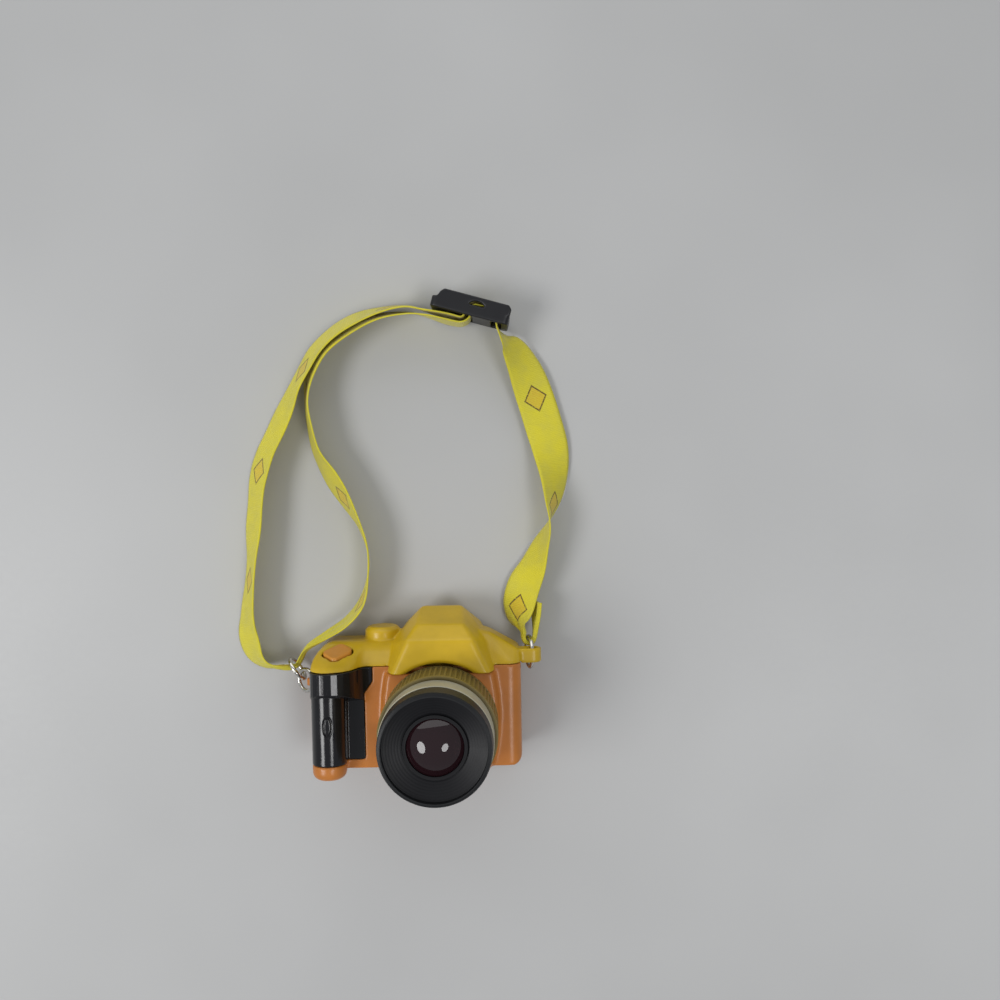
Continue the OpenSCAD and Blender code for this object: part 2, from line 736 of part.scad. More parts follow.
// Top view of the rear cover with its back edges rounded
module rear_view() {
    translate([x_left, back_round]) square([2 * hw, split_z - back_round]);
    translate([x_left + back_round, 0]) square([2 * (hw - back_round), split_z]);
    for (s = [-1, 1])
        translate([mid_x + s * (hw - back_round), back_round]) circle(back_round);
}

// How far a round of radius r has come in at a height above its centre
function round_in(r, height) = r - sqrt(max(r * r - height * height, 0));
// Deck with the cap that swells out over the grip, as rows of points from the seam to the top
function deck_row(inset, share) = let(
    y = y_seam - over + (deck_rise + over - inset) * share,
    up = max((y - y_seam) / deck_rise, 0),
    edge = round_in(deck_round - inset, max(y - y_deck + deck_round, 0)),
    left = x_left + inset + round_in(cap_round - inset, max(y - y_deck + cap_round, 0)),
    squeeze = (hump_x - left) / (hump_x - x_left - inset),
    front = body_d - inset - deck_back * up - edge)
    concat([[left, y, inset + edge]],
        [for (p = concat(sweep_line(inset), [[hump_x, body_d - inset]]))
            [hump_x - (hump_x - p[0]) * squeeze, y, front + (p[1] + inset - body_d) * (1 - up * fade_share)]],
        [[hump_x, y, inset + edge]]);
// The last row stands above the top, which is cut level
deck_shares = concat([for (i = [0:deck_rows]) last_share * (1 - pow(1 - i / deck_rows, 2))], [over_share]);
function deck_points(inset) = [for (share = deck_shares) each deck_row(inset, share)];
function deck_faces(n) = concat(
    [[for (k = [0:n - 1]) k]],
    [for (i = [0:deck_rows]) for (k = [0:n - 1])
        each let(a = n * i + k, b = n * i + (k + 1) % n) [[b, a, a + n], [b, a + n, b + n]]],
    [[for (k = [0:n - 1]) n * len(deck_shares) - 1 - k]]);

module deck(inset) {
    intersection() {
        polyhedron(deck_points(inset), deck_faces(len(sweep_line(inset)) + 3), convexity = 6);
        translate([-far, -far, -far]) cube([2 * far, far + y_deck - inset, 2 * far]);
    }
}

// Shoulder to the right of the hump, as the hull of its foot and rounded tops
module shoulder(inset, sides) {
    hull() {
        intersection() {
            along_y(y_seam - over, y_seam + shoulder_lip) slab_view(inset);
            translate([hump_x, -far, inset]) cube([far, 2 * far, far]);
        }
        for (p = shoulder_tops)
            translate([x_right - p[0], y_seam + p[1] - shoulder_round, body_d - p[2]])
                sphere(shoulder_round - inset, $fn = sides);
    }
}

// Viewfinder hump, as the hull of rounded corners
module hump(r, sides) {
    corners = [
        [hump_top_w, y_top, ridge_z], [hump_back_w, y_top - hump_back_drop, hump_back_z + 2 * hump_round],
        [panel_w, y_top - panel_top_drop, panel_top_z], [brow_w, y_top - panel_low_drop, panel_low_z],
        [hump_base_w, y_skirt, hump_z], [hump_shoulder_w, y_skirt, hump_shoulder_z],
        [hump_mid_w, y_top - hump_mid_drop, deck_z], [hump_foot_w, y_skirt, 2 * hump_round]];
    hull() for (c = corners, s = [-1, 1])
        translate([hump_x + s * (c[0] / 2 - hump_round), c[1] - hump_round, c[2] - hump_round])
            sphere(r, $fn = sides);
}

module top_cover() color([0.86, 0.68, 0.18]) {
    keep_y = y_seam + seam_gap;
    difference() {
        union() {
            difference() {
                union() {
                    deck(0);
                    shoulder(0, 20);
                    hump(hump_round, 24);
                    dial();
                }
                // Hollow
                deck(wall);
                shoulder(wall, 8);
                hump(hump_round - hump_wall, 8);
                // Everything under the seam, and under the front skirt
                translate([-far, keep_y - far, -far]) cube([2 * far, far, far + body_d + seam_gap]);
                translate([-far, y_skirt - far, -far]) cube([2 * far, far, 2 * far]);
                translate([-far, keep_y - far, -far]) cube([far + hump_x - hump_foot_w / 2, far, 2 * far]);
                translate([-far, -far, -far]) cube([2 * far, 2 * far, far]);
            }
            tongue();
            right_lug();
        }
        at_axis() translate([0, 0, arch_z]) cylinder(r = arch_r, h = far);
        at_axis() translate([0, 0, hump_z - arch_chamfer])
            cylinder(r1 = arch_r, r2 = arch_r + arch_chamfer + over, h = arch_chamfer + over);
        along_y(y_seam - over, y_deck + cap_round) button_view(button_gap);
        translate([stem_x, y_seam - over, stem_z]) rotate([-90, 0, 0])
            cylinder(r = stem_r + clear_gap, h = stem_top + clear_gap + over - y_seam);
        at_disc() translate([0, 0, film_z - 2 * clear_gap])
            cylinder(r = disc_r + 2 * clear_gap, h = film_t + 4 * clear_gap);
    }
}

// Rim that locates the top cover inside the shells
module tongue() {
    outer = wall + tongue_gap;
    difference() {
        intersection() {
            along_y(y_seam - tongue_h, y_seam + tongue_lift) slab_view(outer);
            translate([x_left, -far, wall + tongue_gap]) cube([body_w, 2 * far, body_d - 2 * outer]);
        }
        along_y(y_seam - tongue_h - over, y_seam + tongue_lift + over)
            translate([x_left + outer + tongue_t, outer + tongue_t])
                square([body_w - 2 * (outer + tongue_t), body_d - 2 * (outer + tongue_t)]);
        // Open over the grip, where the button works
        translate([x_left - over, y_seam - tongue_h - over, insert_z - inner_t - tongue_gap])
            cube([grip_w + shoulder_step + 2 * wall, tongue_h + tongue_lift + 2 * over, far]);
    }
    // Joins the rim to the cover walls
    difference() {
        along_y(y_seam + seam_gap, y_seam + tongue_lift)
            translate([x_left + wall / 2, wall / 2]) square([body_w - wall, insert_z - inner_t - wall]);
        along_y(y_seam, y_seam + tongue_lift + over)
            translate([x_left + outer + tongue_t, outer + tongue_t])
                square([body_w - 2 * (outer + tongue_t), body_d]);
    }
}

// Eyelet for the strap on the right side
module right_lug() {
    difference() {
        union() {
            along_y(lug_y - lug_t / 2, lug_y + lug_t / 2) {
                translate([lug_x, lug_z]) circle(lug_r);
                translate([x_right + seam_gap + seat_gap, lug_z - lug_r])
                    square([lug_x - x_right - seam_gap - seat_gap, 2 * lug_r]);
            }
            along_y(y_seam + seam_gap, lug_y + lug_t / 2)
                translate([x_right - wall / 2, lug_z - lug_r]) square([wall, 2 * lug_r]);
        }
        along_y(lug_y - lug_t, lug_y + lug_t) translate([lug_x, lug_z]) circle(lug_hole_r);
    }
}

// Moulded dial on the deck
module dial() {
    foot_y = y_deck - wall / 2;
    tall = y_seam + dial_rise - dial_round - foot_y;
    translate([dial_x, foot_y, dial_z]) rotate([-90, 0, 0]) {
        cylinder(r = dial_r, h = tall);
        translate([0, 0, tall]) cylinder(r1 = dial_r, r2 = dial_r - dial_round, h = dial_round);
    }
}

// Grip insert, a shell over the bulge and the shelf beside it
module grip_insert() color([0.04, 0.04, 0.045]) {
    difference() {
        intersection() {
            along_z(insert_z + seat_gap, far) insert_view(seat_gap);
            union() {
                lower_body(0, y_low, y_seam);
                grip_form(0);
            }
        }
        lower_body(grip_t - seat_gap, y_low - over, y_seam + over);
        grip_form(grip_t - seat_gap);
        at_axis() cylinder(r = boss_base_r + seat_gap, h = far);
        // Moulded oval
        translate([grip_x + oval_x, oval_y, grip_z - oval_depth])
            linear_extrude(far) difference() {
                oval_view(oval_w, oval_h);
                oval_view(oval_w - 2 * oval_line, oval_h - 2 * oval_line);
            }
    }
}

module oval_view(w, h) {
    polygon([for (a = [0 : 15 : 345]) [w / 2 * cos(a), h / 2 * sin(a)]]);
}

// Plan of the shutter button, seen from the camera top
module button_view(grow) {
    tips = [
        [button_x - button_left, button_z + button_skew],
        [button_x + button_skew, button_z - button_back],
        [button_x + button_right, button_z - button_skew],
        [button_x - button_skew, button_z + button_front]];
    inner = button_tip_r;
    hull() for (t = tips)
        translate([button_x + (t[0] - button_x) * (1 - inner / button_left),
            button_z + (t[1] - button_z) * (1 - inner / button_left)]) circle(inner + grow, $fn = 32);
}

module shutter_button() color([0.87, 0.45, 0.16]) {
    // Sloping head
    intersection() {
        along_y(y_seam - over, far) button_view(0);
        along_x(x_left, mid_x) polygon([
            [button_y - button_slope_share * (stem_z - button_z), stem_z],
            [button_y - button_slope_share * (cap_z - button_z), cap_z],
            [button_y - button_slope_share * (cap_z - button_z) - button_t, cap_z],
            [button_y - button_slope_share * (stem_z - button_z) - button_t, stem_z]]);
    }
    // Stem and return block
    translate([stem_x, arm_y, stem_z]) rotate([-90, 0, 0]) cylinder(r = stem_r, h = stem_top - arm_y);
    translate([stem_x - stem_r, arm_y, arm_z]) cube([2 * stem_r, block_h, stem_z + stem_r - arm_z]);
    intersection() {
        along_y(y_seam, far) button_view(0);
        translate([stem_x - stem_r, stem_top - block_h, stem_z])
            cube([2 * stem_r, button_y - stem_top + block_h, stem_r - over / 2]);
    }
    // Arm with the finger that drives the ratchet pins
    translate([stem_x, arm_y, arm_z])
        cube([pin_mid_x - finger_in - stem_x, block_h, arm_t]);
    translate([pin_mid_x - finger_in - finger_w, toe_y, arm_z])
        cube([finger_w, arm_y + block_h - toe_y, arm_t]);
    translate([pin_mid_x - finger_in - finger_w, toe_y, arm_z])
        cube([finger_in + finger_w + toe_reach, toe_t, arm_t]);
}

module button_spring() color([0.7, 0.7, 0.72]) {
    polyhedron(points = spring_points, faces = spring_faces, convexity = 10);
}

module at_disc() {
    translate([disc_x, disc_y, 0]) children();
}

module picture_disc() color([0.1, 0.1, 0.12]) {
    at_disc() translate([0, 0, film_z]) difference() {
        cylinder(r = disc_r, h = film_t);
        translate([0, 0, -over]) cylinder(r = sleeve_r + seat_gap, h = film_t + 2 * over);
        for (i = [0:pictures - 1])
            rotate([0, 0, step_deg * i + disc_lean_deg + 180]) translate([picture_circle_r, 0, -over])
                cylinder(r = picture_r + seat_gap, h = film_t + 2 * over);
    }
}

module film_pictures() color([0.45, 0.2, 0.3]) {
    at_disc() for (i = [0:pictures - 1])
        rotate([0, 0, step_deg * i + disc_lean_deg + 180]) translate([picture_circle_r, 0, film_z])
            cylinder(r = picture_r, h = film_t);
}

module ratchet_hub() color([0.9, 0.9, 0.88]) {
    at_disc() difference() {
        union() {
            translate([0, 0, sleeve_z]) cylinder(r = sleeve_r, h = sleeve_top_z - sleeve_z);
            translate([0, 0, plate_z]) cylinder(r = plate_r, h = plate_t);
            for (i = [0:pictures - 1])
                rotate([0, 0, step_deg * (i + 1 / 2)]) translate([pin_circle_r, 0, pin_z])
                    cylinder(r = pin_r, h = plate_z - pin_z + seat_gap, $fn = 32);
        }
        translate([0, 0, sleeve_z - over])
            cylinder(r = post_r + run_gap, h = sleeve_top_z - sleeve_z + 2 * over);
    }
}

module pivot_screw() color([0.7, 0.7, 0.72]) {
    at_disc() {
        translate([0, 0, washer_z - pivot_head_t]) difference() {
            cylinder(r = pivot_head_r, h = pivot_head_t);
            translate([-pilot_r, -seat_gap * 3, -over]) cube([2 * pilot_r, seat_gap * 6, 2 * over]);
            translate([-seat_gap * 3, -pilot_r, -over]) cube([seat_gap * 6, 2 * pilot_r, 2 * over]);
        }
        translate([0, 0, washer_z - seat_gap]) cylinder(r = screw_shank_r, h = pivot_screw_len);
    }
}

module pivot_washer() color([0.3, 0.3, 0.3]) {
    at_disc() translate([0, 0, washer_z]) difference() {
        cylinder(r = pivot_head_r + seat_gap, h = washer_t);
        translate([0, 0, -over]) cylinder(r = pilot_r, h = washer_t + 2 * over);
    }
}

module eyepiece_frame() color([0.05, 0.05, 0.055]) {
    at_axis() difference() {
        union() {
            translate([0, 0, eye_sink]) cylinder(r = eye_frame_r, h = eye_top_z - eye_sink);
            translate([0, 0, wall + seat_gap]) cylinder(r = eye_flange_r, h = eye_flange_t);
        }
        translate([0, 0, eye_sink - over]) cylinder(r = eye_r - eye_lip, h = eye_top_z);
        translate([0, 0, eye_seat_z]) cylinder(r = eye_r + seat_gap, h = eye_top_z);
    }
}

module eyepiece_lens() color([0.8, 0.85, 0.88, 0.5]) {
    mid_z = eye_seat_z + eye_sag + eye_edge_t / 2 + seat_gap;
    at_axis() intersection() {
        translate([0, 0, mid_z - eye_lens_t]) cylinder(r = eye_r, h = 2 * eye_lens_t);
        translate([0, 0, mid_z - eye_lens_t / 2 + eye_curve_r]) sphere(eye_curve_r, $fn = 180);
        translate([0, 0, mid_z + eye_lens_t / 2 - eye_curve_r]) sphere(eye_curve_r, $fn = 180);
    }
}

// Black front with the tube that carries the rings
module lens_barrel() color([0.06, 0.065, 0.07]) {
    at_axis() rotate_extrude() {
        difference() {
            union() {
                translate([0, seat_z + seat_gap]) square([tube_r, ledge_z - seat_z - seat_gap]);
                polygon([
                    [0, front_z], [front_r, front_z], [front_r - front_taper, lens_top_z - front_round],
                    [front_r - front_taper - front_round / 3, lens_top_z - front_round / 4],
                    [front_r - front_taper - front_round, lens_top_z], [0, lens_top_z]]);
            }
            translate([-over, seat_z - over]) square([tube_bore_r + over, far]);
            translate([-over, ledge_z]) square([bezel_r + seat_gap + over, far]);
        }
    }
}

module zoom_ring() color([0.36, 0.31, 0.13]) {
    at_axis() difference() {
        translate([0, 0, zoom_z]) cylinder(r = zoom_r, h = zoom_len);
        translate([0, 0, zoom_z - over]) cylinder(r = tube_r + run_gap, h = zoom_len + 2 * over);
        for (i = [0:zoom_ribs - 1])
            rotate([0, 0, 360 * i / zoom_ribs]) translate([zoom_r + rib_r / 4, 0, zoom_z + rib_edge])
                cylinder(r = rib_r, h = zoom_len - 2 * rib_edge, $fn = 16);
    }
}

module trim_ring() color([0.72, 0.7, 0.55]) {
    at_axis() rotate_extrude() polygon([
        [tube_r + seat_gap, trim_z], [trim_r - front_taper, trim_z], [trim_r, trim_z + front_taper],
        [trim_r, trim_z + trim_len - front_taper], [trim_r - front_taper, trim_z + trim_len],
        [tube_r + seat_gap, trim_z + trim_len]]);
}

module lens_bezel() color([0.07, 0.075, 0.08]) {
    at_axis() rotate_extrude() polygon([
        [bezel_r, ledge_z + seat_gap], [bezel_r, bezel_top_z], [collar_r, bezel_low_z],
        [collar_r, bezel_low_z + collar_rise], [dome_r + seat_gap, bezel_low_z + collar_rise],
        [dome_r + seat_gap, ledge_z + 2 * seat_gap + flange_t],
        [flange_r + seat_gap, ledge_z + 2 * seat_gap + flange_t], [flange_r + seat_gap, ledge_z + seat_gap]]);
}

module front_lens() color([0.2, 0.1, 0.14, 0.8]) {
    at_axis() {
        translate([0, 0, ledge_z + seat_gap]) cylinder(r = flange_r, h = flange_t);
        translate([0, 0, ledge_z + seat_gap]) cylinder(r = dome_r, h = neck_top_z - ledge_z - seat_gap);
        intersection() {
            translate([0, 0, neck_top_z + dome_rise - dome_curve_r]) sphere(dome_curve_r);
            translate([0, 0, neck_top_z - seat_gap]) cylinder(r = dome_r, h = 2 * dome_rise);
        }
    }
}

module body_screws() color([0.7, 0.7, 0.72]) {
    for (p = screw_points) translate([p[0], p[1], screw_sink]) {
        difference() {
            cylinder(r = screw_head_r, h = screw_head_t);
            translate([-screw_r, -seat_gap * 4, -over]) cube([2 * screw_r, seat_gap * 8, 2 * over]);
            translate([-seat_gap * 4, -screw_r, -over]) cube([seat_gap * 8, 2 * screw_r, 2 * over]);
        }
        translate([0, 0, screw_head_t - seat_gap]) cylinder(r = screw_r, h = screw_len);
    }
}

module wire_loop(r) {
    rotate_extrude() translate([r, 0]) circle(wire_r, $fn = 32);
}

// Ring through the left eyelet
module side_ring() color([0.75, 0.74, 0.7]) {
    translate([side_ring_x, side_lug_y, side_ring_z]) rotate([0, -side_ring_lean_deg, 0])
        wire_loop(side_ring_r);
}

// Ring that gathers the ribbon, linked to the side ring
module strap_ring() color([0.75, 0.74, 0.7]) {
    translate(strap_ring_at) rotate([90, 0, strap_ring_turn_deg]) wire_loop(strap_ring_r);
}

// Ring through the right eyelet
module lug_ring() color([0.75, 0.74, 0.7]) {
    translate([lug_ring_x, lug_y, lug_ring_z]) rotate([0, -lug_ring_lean_deg, 0]) wire_loop(lug_ring_r);
}

// Three-bar slider that the ribbon is threaded through
module strap_slider() color([0.06, 0.06, 0.065]) {
    translate(slider_at) rotate([0, 0, slider_turn_deg]) {
        difference() {
            translate([0, slider_t / 2, 0]) rotate([90, 0, 0]) linear_extrude(slider_t)
                slider_plate();
            for (s = [-1, 1])
                translate([slot_shift + s * slot_off - slot_w / 2, -slider_t, -slot_h / 2])
                    cube([slot_w, 2 * slider_t, slot_h]);
        }
        // Upper rail behind the frame, open over the middle of the ribbon
        translate([0, 0, slider_h / 2 - rail_h]) linear_extrude(rail_h) difference() {
            rail_view();
            polygon([for (a = [0 : 15 : 180]) [rail_open_x + rail_open_l / 2 * cos(a),
                slider_t / 2 - 2 * over + (rail_gap + 2 * over) * sin(a)]]);
        }
    }
}

module rail_view() {
    front = slider_t / 2 - over;
    back = slider_t / 2 + rail_gap + rail_t;
    end = slider_l / 2;
    polygon([[-end + rail_in, front], [-end + rail_back, back - rail_cut],
        [-end + rail_back + rail_cut, back], [end - rail_cut, back], [end, back - rail_cut], [end, front]]);
}

module slider_plate() {
    square([slider_l, slider_h - 2 * slider_round], center = true);
    square([slider_l - 2 * slider_round, slider_h], center = true);
    for (s = [-1, 1], t = [-1, 1])
        translate([s * (slider_l / 2 - slider_round), t * (slider_h / 2 - slider_round)])
            circle(slider_round);
}

module strap_ribbon() color([0.83, 0.75, 0.2]) {
    polyhedron(points = ribbon_points, faces = ribbon_faces, convexity = 10);
}

front_shell();
rear_cover();
top_cover();
grip_insert();
shutter_button();
button_spring();
picture_disc();
film_pictures();
ratchet_hub();
pivot_screw();
pivot_washer();
eyepiece_frame();
eyepiece_lens();
lens_barrel();
zoom_ring();
trim_ring();
lens_bezel();
front_lens();
body_screws();
side_ring();
strap_ring();
lug_ring();
strap_slider();
strap_ribbon();
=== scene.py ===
import json
import math
import bpy
import numpy as np
from mathutils import Matrix, Vector


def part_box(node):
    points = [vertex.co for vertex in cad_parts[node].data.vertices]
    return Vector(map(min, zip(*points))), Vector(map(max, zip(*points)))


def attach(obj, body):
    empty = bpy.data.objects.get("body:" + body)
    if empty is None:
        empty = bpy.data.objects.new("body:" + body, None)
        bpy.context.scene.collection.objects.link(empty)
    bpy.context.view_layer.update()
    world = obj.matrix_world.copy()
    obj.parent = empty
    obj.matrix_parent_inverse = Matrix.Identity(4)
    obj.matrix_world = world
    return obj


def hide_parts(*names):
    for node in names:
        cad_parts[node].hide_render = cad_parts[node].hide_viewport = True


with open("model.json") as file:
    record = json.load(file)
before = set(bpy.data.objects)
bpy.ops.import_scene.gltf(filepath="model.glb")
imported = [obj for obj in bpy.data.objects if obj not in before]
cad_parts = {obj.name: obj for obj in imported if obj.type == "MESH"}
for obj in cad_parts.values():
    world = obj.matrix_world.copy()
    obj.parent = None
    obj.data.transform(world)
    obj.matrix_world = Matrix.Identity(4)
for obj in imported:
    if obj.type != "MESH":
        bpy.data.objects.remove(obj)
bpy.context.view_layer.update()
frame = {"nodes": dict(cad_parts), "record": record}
nodes = frame["nodes"]
scene = bpy.context.scene
scene.view_settings.view_transform = "Standard"
MM = 0.001

# Camera: place in millimetres, angles in degrees
EYE = (19.305, 57.16, 250)
EYE_TILT, EYE_TURN = 2.5, 1.0
SENSOR, FOCAL = 36, 36


def make_camera():
    """Looks down at the table, a little tilted and turned."""
    tilt, turn = math.radians(EYE_TILT), math.radians(EYE_TURN)
    look = Vector((0, -math.sin(tilt), -math.cos(tilt)))
    right0 = Vector((1, 0, 0))
    up0 = right0.cross(look)
    right = right0 * math.cos(turn) - up0 * math.sin(turn)
    up = right0 * math.sin(turn) + up0 * math.cos(turn)
    cam = bpy.data.objects.new("photo_camera", bpy.data.cameras.new("photo_camera"))
    cam.data.sensor_width = SENSOR
    cam.data.lens = FOCAL
    cam.data.clip_start = 10 * MM
    place = Matrix((right, up, -look)).transposed().to_4x4()
    place.translation = Vector(EYE) * MM
    cam.matrix_world = place
    scene.collection.objects.link(cam)
    scene.camera = cam


make_camera()

# Lens, in millimetres: axis, radii over which the painted shade in the grooves fades, and pitch of the
# turned rings
AXIS = (4.475, -4.85)
GROOVE_SHADE_R = (12.95, 13.5)
RING_PITCH = 0.62

# Ribbon, in millimetres: size, bound edge, weave and print, and where the print starts in its pitch
RIBBON_W, RIBBON_T = 9.6, 0.5
BOUND_EDGE = (4.1, 4.45)
RIB_PITCH, THREAD_PITCH = 0.42, 0.3
PRINT_PITCH, PRINT_HALF = 27.0, (3.4, 3.0)
PRINT_START_SHARE = 0.31

# Sockets of a Mix node that mixes colours
MIX_SHARE, MIX_A, MIX_B, MIX_OUT = 0, 6, 7, 2


class Value:
    """A socket of a finish. Arithmetic on it adds Math nodes."""

    def __init__(self, finish, socket):
        self.finish, self.socket = finish, socket

    def math(self, op, *args):
        node = self.finish.node("ShaderNodeMath", {"operation": op}, dict(enumerate(args)))
        return Value(self.finish, node.outputs[0])

    def __add__(self, o):
        return self.math("ADD", self, o)

    def __radd__(self, o):
        return self.math("ADD", o, self)

    def __sub__(self, o):
        return self.math("SUBTRACT", self, o)

    def __rsub__(self, o):
        return self.math("SUBTRACT", o, self)

    def __mul__(self, o):
        return self.math("MULTIPLY", self, o)

    def __rmul__(self, o):
        return self.math("MULTIPLY", o, self)

    def __truediv__(self, o):
        return self.math("DIVIDE", self, o)

    def sin(self):
        return self.math("SINE", self)

    def abs(self):
        return self.math("ABSOLUTE", self)

    def fract(self):
        return self.math("FRACT", self)

    def root(self):
        return self.math("SQRT", self)

    def most(self, o):
        return self.math("MAXIMUM", self, o)

    def step(self, low, high):
        """0 below low, 1 above high, smooth between."""
        return self.finish.value("ShaderNodeMapRange", {"interpolation_type": "SMOOTHSTEP"},
                                 {"Value": self, "From Min": low, "From Max": high})


class Finish:
    """A procedural material, made node by node."""

    def __init__(self, name):
        self.material = bpy.data.materials.new(name)
        self.material.use_nodes = True
        self.tree = self.material.node_tree
        self.tree.nodes.clear()
        out = self.tree.nodes.new("ShaderNodeOutputMaterial")
        self.shader = self.node("ShaderNodeBsdfPrincipled", {}, {})
        self.tree.links.new(self.shader.outputs[0], out.inputs[0])
        self.places = self.node("ShaderNodeTexCoord", {}, {})

    def node(self, kind, settings, sockets):
        """A node of a kind, with its settings first and then its sockets."""
        made = self.tree.nodes.new(kind)
        for key, value in settings.items():
            setattr(made, key, value)
        for key, value in sockets.items():
            self.put(made.inputs[key], value)
        return made

    def put(self, socket, value):
        """Links a value to a socket, or sets the socket to a constant."""
        if isinstance(value, Value):
            self.tree.links.new(value.socket, socket)
        elif isinstance(value, bpy.types.NodeSocket):
            self.tree.links.new(value, socket)
        elif socket.type == "RGBA" and len(value) == 3:
            socket.default_value = (*value, 1)
        else:
            socket.default_value = value

    def value(self, kind, settings, sockets):
        """The first output of a new node."""
        return Value(self, self.node(kind, settings, sockets).outputs[0])

    def noise(self, scale, detail, rough, where=None):
        """Noise from 0 to 1; scale is in features per metre."""
        return self.value("ShaderNodeTexNoise", {}, {"Vector": where or self.places.outputs["Object"],
                          "Scale": scale, "Detail": detail, "Roughness": rough})

    def mix(self, share, a, b):
        """Colour a, with a share of colour b."""
        made = self.node("ShaderNodeMix", {"data_type": "RGBA"}, {})
        for index, value in ((MIX_SHARE, share), (MIX_A, a), (MIX_B, b)):
            self.put(made.inputs[index], value)
        return made.outputs[MIX_OUT]

    def bump(self, height, depth, strength):
        """A normal from a height; its depth is in metres."""
        return self.node("ShaderNodeBump", {}, {"Height": height, "Distance": depth,
                         "Strength": strength}).outputs[0]

    def set(self, **sockets):
        """Sets sockets of the shader; an underscore stands for a space."""
        for key, value in sockets.items():
            self.put(self.shader.inputs[key.replace("_", " ")], value)

    def split(self, place):
        """The parts of a vector of the texture coordinates."""
        made = self.node("ShaderNodeSeparateXYZ", {}, {0: self.places.outputs[place]})
        return [Value(self, out) for out in made.outputs]

    def lens_radius(self):
        """Millimetres from the lens axis."""
        x, y = self.split("Object")[:2]
        ax, ay = AXIS[0] * MM, AXIS[1] * MM
        return ((x - ax) * (x - ax) + (y - ay) * (y - ay)).root() / MM


def srgb(r, g, b):
    """Linear colour of an 8-bit screen colour."""
    return tuple((c / 255 / 12.92) if c / 255 <= 0.04045 else ((c / 255 + 0.055) / 1.055) ** 2.4
                 for c in (r, g, b))


def shade(colour, share):
    """The colour, darker for a share below 1 and lighter above it."""
    return tuple(c * share for c in colour)


def turns(pitch):
    """Radians per millimetre of a wave with this pitch."""
    return 2 * math.pi / pitch


def moulded(name, colour, rough, grain=0.02, tone=0.12, ior=1.46):
    """Moulded plastic: cloudy tone, handling marks in the gloss, fine tool grain and hairline scratches."""
    f = Finish(name)
    cloud = f.noise(90, 3, 0.55)
    smear = f.noise(420, 4, 0.6)
    fine = f.noise(9000, 2, 0.5)
    stretched = f.value("ShaderNodeMapping", {}, {"Vector": f.places.outputs["Object"], "Scale": (1, 14, 5),
                        "Rotation": (0.3, 0.2, 0.7)})
    hair = f.noise(900, 5, 0.7, stretched)
    scratch = hair.step(0.66, 0.72)
    base = f.mix(cloud.step(0.35, 0.7), shade(colour, 1 - tone), shade(colour, 1 + tone * 0.5))
    f.set(Base_Color=base, Roughness=(rough + (smear - 0.5) * 0.16 + scratch * 0.12).most(0.04),
          IOR=ior, Normal=f.bump(fine + scratch * 0.6 + smear * 2.0, grain * MM, 0.5))
    return f.material


def plated(name, colour, rough):
    """Bright plated wire with a little tarnish."""
    f = Finish(name)
    spot = f.noise(1400, 4, 0.6)
    dull = f.noise(300, 3, 0.5)
    base = f.mix(spot.step(0.5, 0.75), colour, shade(colour, 0.72))
    f.set(Base_Color=base, Metallic=1.0, Roughness=rough + (dull - 0.4) * 0.25,
          Normal=f.bump(spot, 0.01 * MM, 0.4))
    return f.material


def clear_moulding(name, tint, rough, clear=1.0, ior=1.49):
    """Clear plastic lens: sees through, with a trace of haze."""
    f = Finish(name)
    haze = f.noise(600, 3, 0.5)
    f.set(Base_Color=tint, Transmission_Weight=clear, IOR=ior, Roughness=rough + haze * 0.03,
          Normal=f.bump(haze, 0.004 * MM, 0.3))
    return f.material


def ribbed_plastic(name, colour, rough):
    """Satin ring with painted shade darkening its grooves and the part nearer the axis."""
    f = Finish(name)
    # Painted shade: the colour is darker in the grooves and towards the lens axis
    groove_shade = 1 - f.lens_radius().step(*GROOVE_SHADE_R)
    cloud = f.noise(140, 3, 0.5)
    fine = f.noise(7000, 2, 0.5)
    clean = f.mix(cloud, shade(colour, 0.85), shade(colour, 1.2))
    f.set(Base_Color=f.mix(groove_shade * 0.75, clean, shade(colour, 0.35)),
          Roughness=rough + (cloud - 0.5) * 0.15, Normal=f.bump(fine, 0.02 * MM, 0.5))
    return f.material


def ringed_plastic(name, colour, rough):
    """Dull turned face with faint rings about the lens axis."""
    f = Finish(name)
    rings = (f.lens_radius() * turns(RING_PITCH)).sin() * 0.5 + 0.5
    cloud = f.noise(160, 3, 0.5)
    fine = f.noise(7000, 2, 0.5)
    base = f.mix(rings * 0.5 + cloud * 0.3, shade(colour, 0.8), shade(colour, 1.35))
    f.set(Base_Color=base, Roughness=rough + (cloud - 0.5) * 0.15, IOR=1.32,
          Normal=f.bump(rings * 0.8 + fine * 0.3, 0.03 * MM, 0.6))
    return f.material


